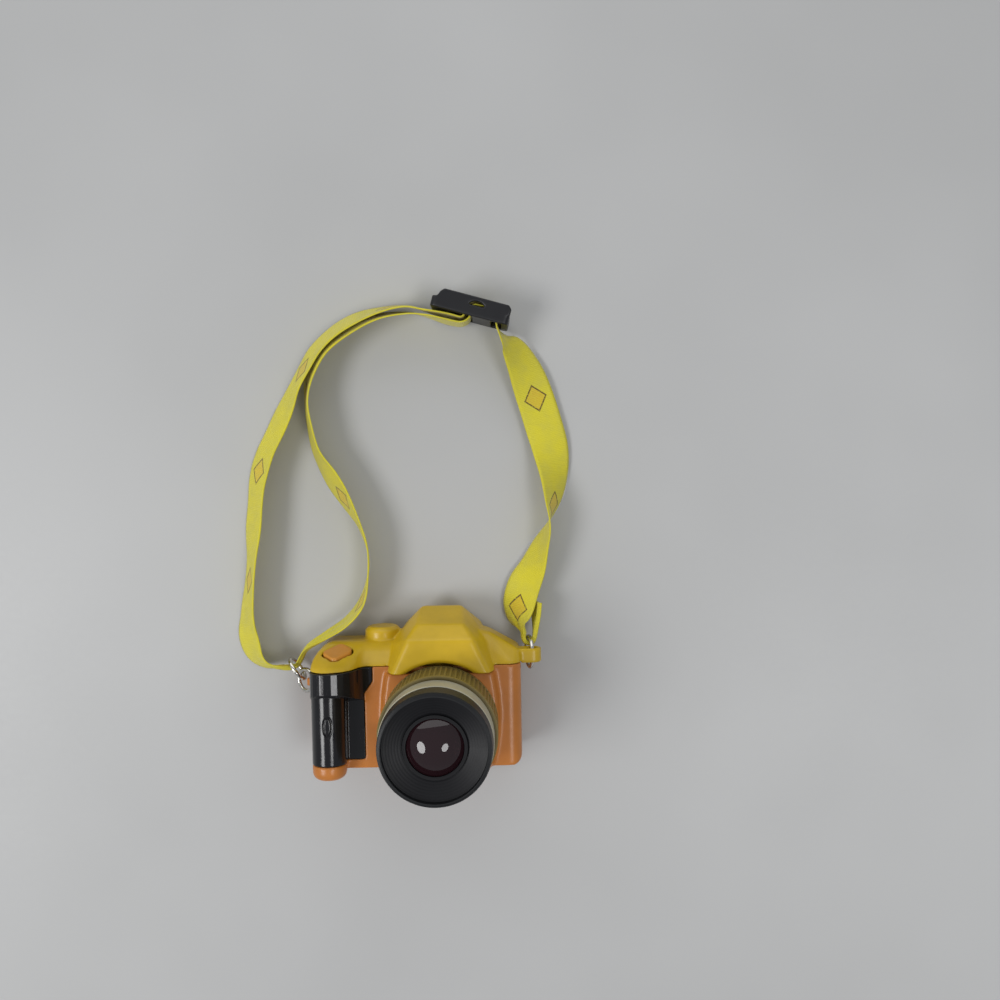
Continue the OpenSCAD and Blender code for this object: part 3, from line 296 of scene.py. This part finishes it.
def woven_ribbon(name):
    """Cross-ribbed ribbon: u runs along it and v across it, both in millimetres."""
    f = Finish(name)
    u, v = f.split("UV")[:2]
    yellow, pale = srgb(222, 210, 42), srgb(212, 202, 62)
    rib = (u * turns(RIB_PITCH)).sin()
    thread = (v * turns(THREAD_PITCH) + (u * turns(2 * RIB_PITCH)).sin()).sin()
    edge = v.abs().step(*BOUND_EDGE)
    cloud = f.noise(260, 3, 0.5)
    slub = f.noise(2400, 3, 0.6)
    base = f.mix(cloud.step(0.3, 0.75), yellow, pale)
    base = f.mix((rib * 0.5 + 0.5) * 0.16, base, shade(yellow, 0.62))
    base = f.mix(edge * 0.25, base, shade(yellow, 0.8))
    # Printed lozenges, each an orange field in a dark outline
    cell = ((u / PRINT_PITCH + PRINT_START_SHARE).fract() - 0.5) * PRINT_PITCH
    away = (cell / PRINT_HALF[0]).abs() + (v / PRINT_HALF[1]).abs()
    field = 1 - away.step(0.86, 0.9)
    line = away.step(0.84, 0.88) * (1 - away.step(1.0, 1.05))
    wear = slub.step(0.28, 0.5) * 0.75 + 0.2
    base = f.mix(field * 0.45 * wear, base, srgb(214, 160, 40))
    base = f.mix(line * wear, base, srgb(92, 70, 28))
    f.set(Base_Color=base, Roughness=0.62 + (slub - 0.5) * 0.2, Sheen_Weight=0.25, Sheen_Roughness=0.4,
          Normal=f.bump(rib * 0.5 + thread * 0.25 + slub * 0.4 + edge * 0.8, 0.06 * MM, 0.8))
    return f.material


def tabletop(name):
    """Pale table with a faint unevenness."""
    f = Finish(name)
    cloud = f.noise(9, 3, 0.5)
    fine = f.noise(700, 3, 0.5)
    f.set(Base_Color=f.mix(cloud.step(0.3, 0.7), srgb(178, 178, 177), srgb(185, 185, 184)),
          Roughness=0.45 + (fine - 0.5) * 0.1, Normal=f.bump(fine, 0.02 * MM, 0.2))
    return f.material


finishes = {
    "shell_orange": moulded("shell_orange", srgb(192, 119, 52), 0.3),
    "cover_yellow": moulded("cover_yellow", srgb(203, 168, 30), 0.32),
    "button_orange": moulded("button_orange", srgb(204, 138, 50), 0.35),
    "grip_black": moulded("grip_black", srgb(22, 22, 25), 0.13, grain=0.015, tone=0.2),
    "barrel_black": moulded("barrel_black", srgb(21, 22, 24), 0.42, ior=1.38),
    "bezel_black": ringed_plastic("bezel_black", srgb(16, 16, 19), 0.45),
    "ring_cream": moulded("ring_cream", srgb(180, 175, 152), 0.34),
    "ring_olive": ribbed_plastic("ring_olive", srgb(126, 110, 58), 0.4),
    "slider_black": moulded("slider_black", srgb(20, 20, 23), 0.42),
    "eyepiece_black": moulded("eyepiece_black", srgb(24, 24, 26), 0.4),
    "disc_black": moulded("disc_black", srgb(26, 26, 30), 0.5),
    "hub_white": moulded("hub_white", srgb(226, 224, 216), 0.4),
    "washer_black": moulded("washer_black", srgb(40, 40, 40), 0.5),
    "film_tint": moulded("film_tint", srgb(120, 70, 96), 0.2),
    "wire_steel": plated("wire_steel", srgb(180, 180, 184), 0.25),
    "screw_steel": plated("screw_steel", srgb(176, 176, 180), 0.3),
    "ring_silver": plated("ring_silver", srgb(214, 211, 204), 0.16),
    "lens_clear": clear_moulding("lens_clear", srgb(244, 248, 250), 0.02),
    "lens_plum": clear_moulding("lens_plum", srgb(44, 23, 28), 0.0, clear=0.4, ior=1.52),
}


def dress(obj, finish):
    """Gives an object one finish."""
    obj.data.materials.clear()
    obj.data.materials.append(finish)


for part in frame["record"]["subparts"]:
    if part["material_slot"] in finishes:
        dress(nodes[part["node"]], finishes[part["material_slot"]])


def add_object(name, mesh, finish):
    """Puts a mesh in the scene, with its finish."""
    obj = bpy.data.objects.new(name, mesh)
    scene.collection.objects.link(obj)
    dress(obj, finish)
    return obj


def stand_for(obj, body, node):
    """Rides an object on a body, in place of a CAD node."""
    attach(obj, body)
    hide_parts(node)


EASE_FACTOR = 0.5


def soft_moulding(node, voxel, rounds):
    """A copy of a CAD node with the soft edges of a moulding; its voxel is in millimetres."""
    source = nodes[node]
    part = next(p for p in frame["record"]["subparts"] if p["node"] == node)
    body = next(b for b, held in frame["record"]["behaviour"]["bodies"].items() if node in held)
    shape = bpy.data.objects.new(node + "_shape", source.data.copy())
    scene.collection.objects.link(shape)
    grid = shape.modifiers.new("grid", "REMESH")
    grid.mode, grid.voxel_size, grid.use_smooth_shade = "VOXEL", voxel * MM, True
    ease = shape.modifiers.new("ease", "SMOOTH")
    ease.factor, ease.iterations = EASE_FACTOR, rounds
    depsgraph = bpy.context.evaluated_depsgraph_get()
    settled = bpy.data.meshes.new_from_object(shape.evaluated_get(depsgraph))
    bpy.data.objects.remove(shape)
    obj = add_object(node + "_moulding", settled, finishes[part["material_slot"]])
    stand_for(obj, body, node)
    return obj


# Strap's route, in millimetres and radians
STRAP_ZERO = (-1.025, 0.45)
SLIDER_AT, SLIDER_TURN = (12.975, 91.75, 6.7), math.radians(-15.7)
RING_PASS_SHIFT, RING_PASS_SHARE = (-0.45, 0.65), 0.3
LUG_RING_R, WIRE_R, HOOK_SAG, HOOK_CLEAR = 3.7, 0.5, 0.2, 0.6

# Ribbon's mesh: points between route points, step along, strips across, least width share and height
CURVE_STEPS, RIBBON_STEP, RIBBON_STRIPS = 24, 0.55, 16
LEAST_SHARE, LEAST_HEIGHT = 0.28, 0.06
ACROSS = np.linspace(-1, 1, RIBBON_STRIPS + 1)
# Share of the ribbon's thickness in its middle and at its edges
FACE_SHARE, EDGE_SHARE = 0.8, 0.55

# Pleats where the ribbon is gathered, and a slight wave elsewhere: depths in millimetres
PLEAT_LIMIT, PLEAT_SHARE, PLEAT_DEPTH = 0.6, 0.75, 0.9
PLEATS_ACROSS, PLEAT_DRIFT = 2.5, 0.05
WAVE_DEPTH, WAVE_RATE, WAVE_SLANT = 0.10, 0.42, 1.4

# At the slider: along it, behind it, and lean in degrees
sewn_thread = [
    (5.1, 1.8, 0), (3, 1.8, 0), (0.95, 1.8, 0), (0.4, 1.65, 0), (0.2, 1.2, 0), (0.2, -0.9, 0),
    (-0.4, -2.2, 0), (-1.6, -3, 0), (-4, -3.3, 0), (-10.5, -3.3, -4)]
loop_thread = [
    (-10.3, -2.05, 4), (-4, -1.95, 0), (-2.1, -1.9, 0), (-1.5, -1.7, 0), (-1.3, -1.2, 0),
    (-1.1, 1, 0), (-0.6, 2.1, 0), (0.4, 2.8, 0), (3, 2.95, 0), (5.3, 2.75, 0), (6.3, 1.9, 0), (6.6, 0.8, 0),
    (6.6, -0.8, 0), (7.2, -1.8, 2), (9.2, -3.4, 12)]
# On the table: x, y, height of the middle, lean to the right of travel in degrees, width share
inner_run = [
    (-0.9, 91.8, 5.6, -8, 1), (-6.9, 91.5, 5.2, -16, 1), (-13.2, 89.7, 5, -22, 1), (-18.8, 86.5, 5, -26, 1),
    (-23, 82.5, 5, -26, 1), (-25.7, 77.4, 5, -23, 1), (-26.5, 71.2, 5.1, -16, 1),
    (-25.9, 65, 5.1, -15, 1), (-24.4, 58.5, 5, -20, 1), (-20.9, 52.1, 4.8, -28, 1),
    (-17.1, 45.6, 4.9, -24, 1), (-14, 39.7, 5.1, -12, 1), (-12.4, 33.7, 5.1, -8, 1),
    (-12.5, 27.3, 5.1, -8, 1), (-14.2, 21.4, 5.2, -12, 1), (-18, 16.8, 5.6, -14, 0.9),
    (-22.9, 13.6, 6.2, -12, 0.72), (-27.7, 10.5, 6.4, -6, 0.5)]
left_run = [
    (-34.8, 5.9, 6, 10, 0.55), (-38.2, 6.5, 5.2, 26, 0.8), (-41.1, 9, 4.3, 38, 1), (-42.5, 13.2, 4.1, 42, 1),
    (-42.5, 18.6, 4.55, 33, 1), (-41.8, 25.4, 4.85, 25, 1), (-41.1, 32.2, 4.8, 27, 1),
    (-40.5, 39.6, 4.5, 33, 1), (-39.9, 45.8, 4.4, 35, 1), (-39.1, 51.9, 4.4, 36, 1), (-37.3, 58, 4.4, 37, 1),
    (-34.3, 64, 4.4, 37, 1), (-31.6, 69.7, 4.5, 33, 1), (-29.6, 74.2, 4.7, 28, 1), (-27.2, 78.5, 4.8, 26, 1),
    (-24.1, 83.5, 4.9, 26, 1), (-19.6, 87.7, 5, 26, 1), (-13.8, 91, 5, 22, 1), (-7.2, 92.9, 5.2, 16, 1),
    (-1.3, 93.4, 5.6, 8, 1)]
tail_run = [
    (23.9, 83.7, 5.2, 36, 1), (26.7, 78.5, 3.8, 58, 1), (29.3, 71.4, 2.6, 74, 1), (31.4, 64.4, 2.2, 78, 1),
    (33, 58.3, 2.7, 68, 1), (33.7, 52.3, 3.9, 50, 1), (33.4, 45.9, 4.9, 26, 1), (32.3, 40.1, 5.3, 0, 1),
    (30, 34.6, 5.2, -22, 1), (28, 29.2, 4.8, -40, 1), (25.7, 24.4, 4.3, -52, 1), (24.4, 19.6, 4.5, -50, 1),
    (24.3, 15.9, 5.4, -36, 0.78)]
# Round the right ring: shift along x and y and drop, in hook radii, then lean and width share
hook_shares = [
    (-1, 1, 0, -8, 0.4), (-1, 0, 0, 0, 0.3), (-0.7, -0.7, 0, 0, 0.3), (0, -1, 0, 0, 0.3),
    (0.7, -0.7, 0, 0, 0.3), (1, 0, 0, 0, 0.3), (1.25, 2.4, 0.4, 8, 0.5), (1.35, 4.4, 0.9, 14, 0.62),
    (1.45, 6.4, 1.2, 16, 0.7)]


def on_slider(thread):
    """The thread's points in the frame of the model."""
    c, s = math.cos(SLIDER_TURN), math.sin(SLIDER_TURN)
    return [(SLIDER_AT[0] + u * c - w * s, SLIDER_AT[1] + u * s + w * c, SLIDER_AT[2], lean, 1)
            for u, w, lean in thread]


def on_table(run):
    """The run's points in the frame of the model."""
    return [(x + STRAP_ZERO[0], y + STRAP_ZERO[1], z, lean, share) for x, y, z, lean, share in run]


def middle(node):
    """Middle of a CAD node's box, in millimetres."""
    low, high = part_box(node)
    return [(low[i] + high[i]) / 2 / MM for i in range(3)]


def strap_route():
    """All the route's points, from the end sewn at the slider to the end hooked on the right ring."""
    ring = middle("strap_ring")
    hook = middle("lug_ring")
    hook[1] += LUG_RING_R - HOOK_SAG
    hook_r = WIRE_R + RIBBON_T / 2 + HOOK_CLEAR
    end_run = [(hook[0] + a * hook_r, hook[1] + b * hook_r, hook[2] - c * hook_r, lean, share)
               for a, b, c, lean, share in hook_shares]
    ring_pass = [(ring[0] + RING_PASS_SHIFT[0], ring[1] + RING_PASS_SHIFT[1], ring[2], 0, RING_PASS_SHARE)]
    return np.array(on_slider(sewn_thread) + on_table(inner_run) + ring_pass + on_table(left_run)
                    + on_slider(loop_thread) + on_table(tail_run) + end_run, dtype=float)


def steps_between(points):
    """Lengths of the steps from point to point."""
    return np.linalg.norm(np.diff(points[:, :3], axis=0), axis=1)


def smooth_line(points, step):
    """Even points on a Catmull-Rom curve through the route, and how far along each lies."""
    knots = np.concatenate([[0], np.cumsum(steps_between(points) ** 0.5)])
    ends = np.vstack([2 * points[0] - points[1], points, 2 * points[-1] - points[-2]])
    times = np.concatenate([[2 * knots[0] - knots[1]], knots, [2 * knots[-1] - knots[-2]]])

    def between(t, ta, tb, a, b):
        return (tb - t) / (tb - ta) * a + (t - ta) / (tb - ta) * b

    fine = []
    for i in range(1, len(points)):
        p0, p1, p2, p3 = ends[i - 1:i + 3]
        t0, t1, t2, t3 = times[i - 1:i + 3]
        for t in np.linspace(t1, t2, CURVE_STEPS, endpoint=False):
            a1, a2, a3 = between(t, t0, t1, p0, p1), between(t, t1, t2, p1, p2), between(t, t2, t3, p2, p3)
            b1, b2 = between(t, t0, t2, a1, a2), between(t, t1, t3, a2, a3)
            fine.append(between(t, t1, t2, b1, b2))
    fine = np.array(fine + [points[-1]])
    along = np.concatenate([[0], np.cumsum(steps_between(fine))])
    even = np.linspace(0, along[-1], int(along[-1] / step) + 1)
    return np.stack([np.interp(even, along, fine[:, k]) for k in range(points.shape[1])], axis=1), even


def ribbon_rings(line, along):
    """Points round the ribbon at each step along its line."""
    heading = np.gradient(line[:, :2], axis=0)
    heading /= np.linalg.norm(heading, axis=1)[:, None]
    lean = np.radians(line[:, 3])
    share = np.clip(line[:, 4], LEAST_SHARE, 1)
    side = np.stack([heading[:, 1], -heading[:, 0]], axis=1)
    wide = np.column_stack([side * np.sin(lean)[:, None], np.cos(lean)])
    thick = np.column_stack([side * np.cos(lean)[:, None], -np.sin(lean)])
    pleat = np.clip(1 - share, 0, PLEAT_LIMIT) * PLEAT_SHARE
    phase = ACROSS[None, :] * math.pi * PLEATS_ACROSS + along[:, None] * PLEAT_DRIFT
    fold = pleat[:, None] * np.sin(phase) * PLEAT_DEPTH
    slant = along[:, None] * WAVE_RATE + ACROSS[None, :] * WAVE_SLANT
    wave = WAVE_DEPTH * np.sin(slant) * (1 - pleat[:, None])
    reach = ACROSS[None, :, None] * (RIBBON_W / 2 * share)[:, None, None]
    mid = line[:, None, :3] + wide[:, None, :] * reach
    mid = mid + thick[:, None, :] * (fold + wave)[:, :, None]
    half = np.full((len(line), len(ACROSS)), RIBBON_T / 2 * FACE_SHARE)
    half[:, 0] = half[:, -1] = RIBBON_T / 2 * EDGE_SHARE
    front = mid - thick[:, None, :] * half[:, :, None]
    back = mid + thick[:, None, :] * half[:, :, None]
    rings = np.concatenate([front, back[:, ::-1]], axis=1)
    rings[:, :, 2] = np.maximum(rings[:, :, 2], LEAST_HEIGHT)
    return rings


def tube_mesh(name, rings):
    """A closed tube through rings of points in millimetres."""
    n, count = rings.shape[:2]
    faces = []
    for i in range(n - 1):
        here, there = i * count, (i + 1) * count
        for k in range(count):
            after = (k + 1) % count
            faces.append((here + k, there + k, there + after, here + after))
    faces.append(tuple(range(count)))
    faces.append(tuple(range((n - 1) * count, n * count))[::-1])
    mesh = bpy.data.meshes.new(name)
    mesh.from_pydata([tuple(float(c) * MM for c in p) for p in rings.reshape(-1, 3)], [], faces)
    mesh.update()
    mesh.polygons.foreach_set("use_smooth", [True] * len(mesh.polygons))
    return mesh


def make_strap():
    """The ribbon along its route, with its weave laid flat, and the slider that it is threaded through."""
    line, along = smooth_line(strap_route(), RIBBON_STEP)
    rings = ribbon_rings(line, along)
    strap = add_object("neck_strap", tube_mesh("neck_strap", rings), woven_ribbon("ribbon_yellow"))
    stand_for(strap, "camera", "strap_ribbon")
    uv = strap.data.uv_layers.new(name="strap")
    count = rings.shape[1]
    flat_v = np.concatenate([ACROSS, ACROSS[::-1]]) * RIBBON_W / 2
    loops = np.zeros(len(strap.data.loops), dtype=np.int32)
    strap.data.loops.foreach_get("vertex_index", loops)
    uv.data.foreach_set("uv", np.column_stack([along[loops // count], flat_v[loops % count]]).ravel())
    slider = soft_moulding("strap_slider", voxel=0.18, rounds=14)


make_strap()
soft_moulding("top_cover", voxel=0.28, rounds=8)
soft_moulding("front_shell", voxel=0.32, rounds=6)
soft_moulding("rear_cover", voxel=0.36, rounds=5)
soft_moulding("grip_insert", voxel=0.13, rounds=3)
soft_moulding("shutter_button", voxel=0.2, rounds=8)

# Table and lamps, in metres and watts
TABLE_HALF, TABLE_Z = 1.5, -0.00005
LAMP_TARGET = (0, 0.03, 0)
ROOM_COLOUR, ROOM_STRENGTH = (0.92, 0.95, 1.0, 1), 0.37


def make_table():
    """Flat table just under the part."""
    mesh = bpy.data.meshes.new("table")
    corners = [(x * TABLE_HALF, y * TABLE_HALF, TABLE_Z) for x, y in ((-1, -1), (1, -1), (1, 1), (-1, 1))]
    mesh.from_pydata(corners, [], [(0, 1, 2, 3)])
    table = add_object("table", mesh, tabletop("tabletop"))


def area_light(name, at, size, power):
    """Soft oval lamp that shines on the part."""
    lamp = bpy.data.lights.new(name, "AREA")
    lamp.shape = "ELLIPSE"
    lamp.size, lamp.size_y = size
    lamp.energy = power
    obj = bpy.data.objects.new(name, lamp)
    scene.collection.objects.link(obj)
    obj.location = at
    obj.rotation_euler = (Vector(LAMP_TARGET) - Vector(at)).to_track_quat("-Z", "Y").to_euler()


make_table()
area_light("window_left", at=(-0.72, -0.2, 0.92), size=(0.6, 0.44), power=6.0)
area_light("window_right", at=(0.46, -0.2, 1.05), size=(0.44, 0.31), power=2.7)
area_light("ceiling", at=(-0.2, 1.5, 0.75), size=(3.4, 1.2), power=11.0)
world = bpy.data.worlds.new("room")
scene.world = world
world.use_nodes = True
room = world.node_tree.nodes["Background"]
room.inputs[0].default_value = ROOM_COLOUR
room.inputs[1].default_value = ROOM_STRENGTH
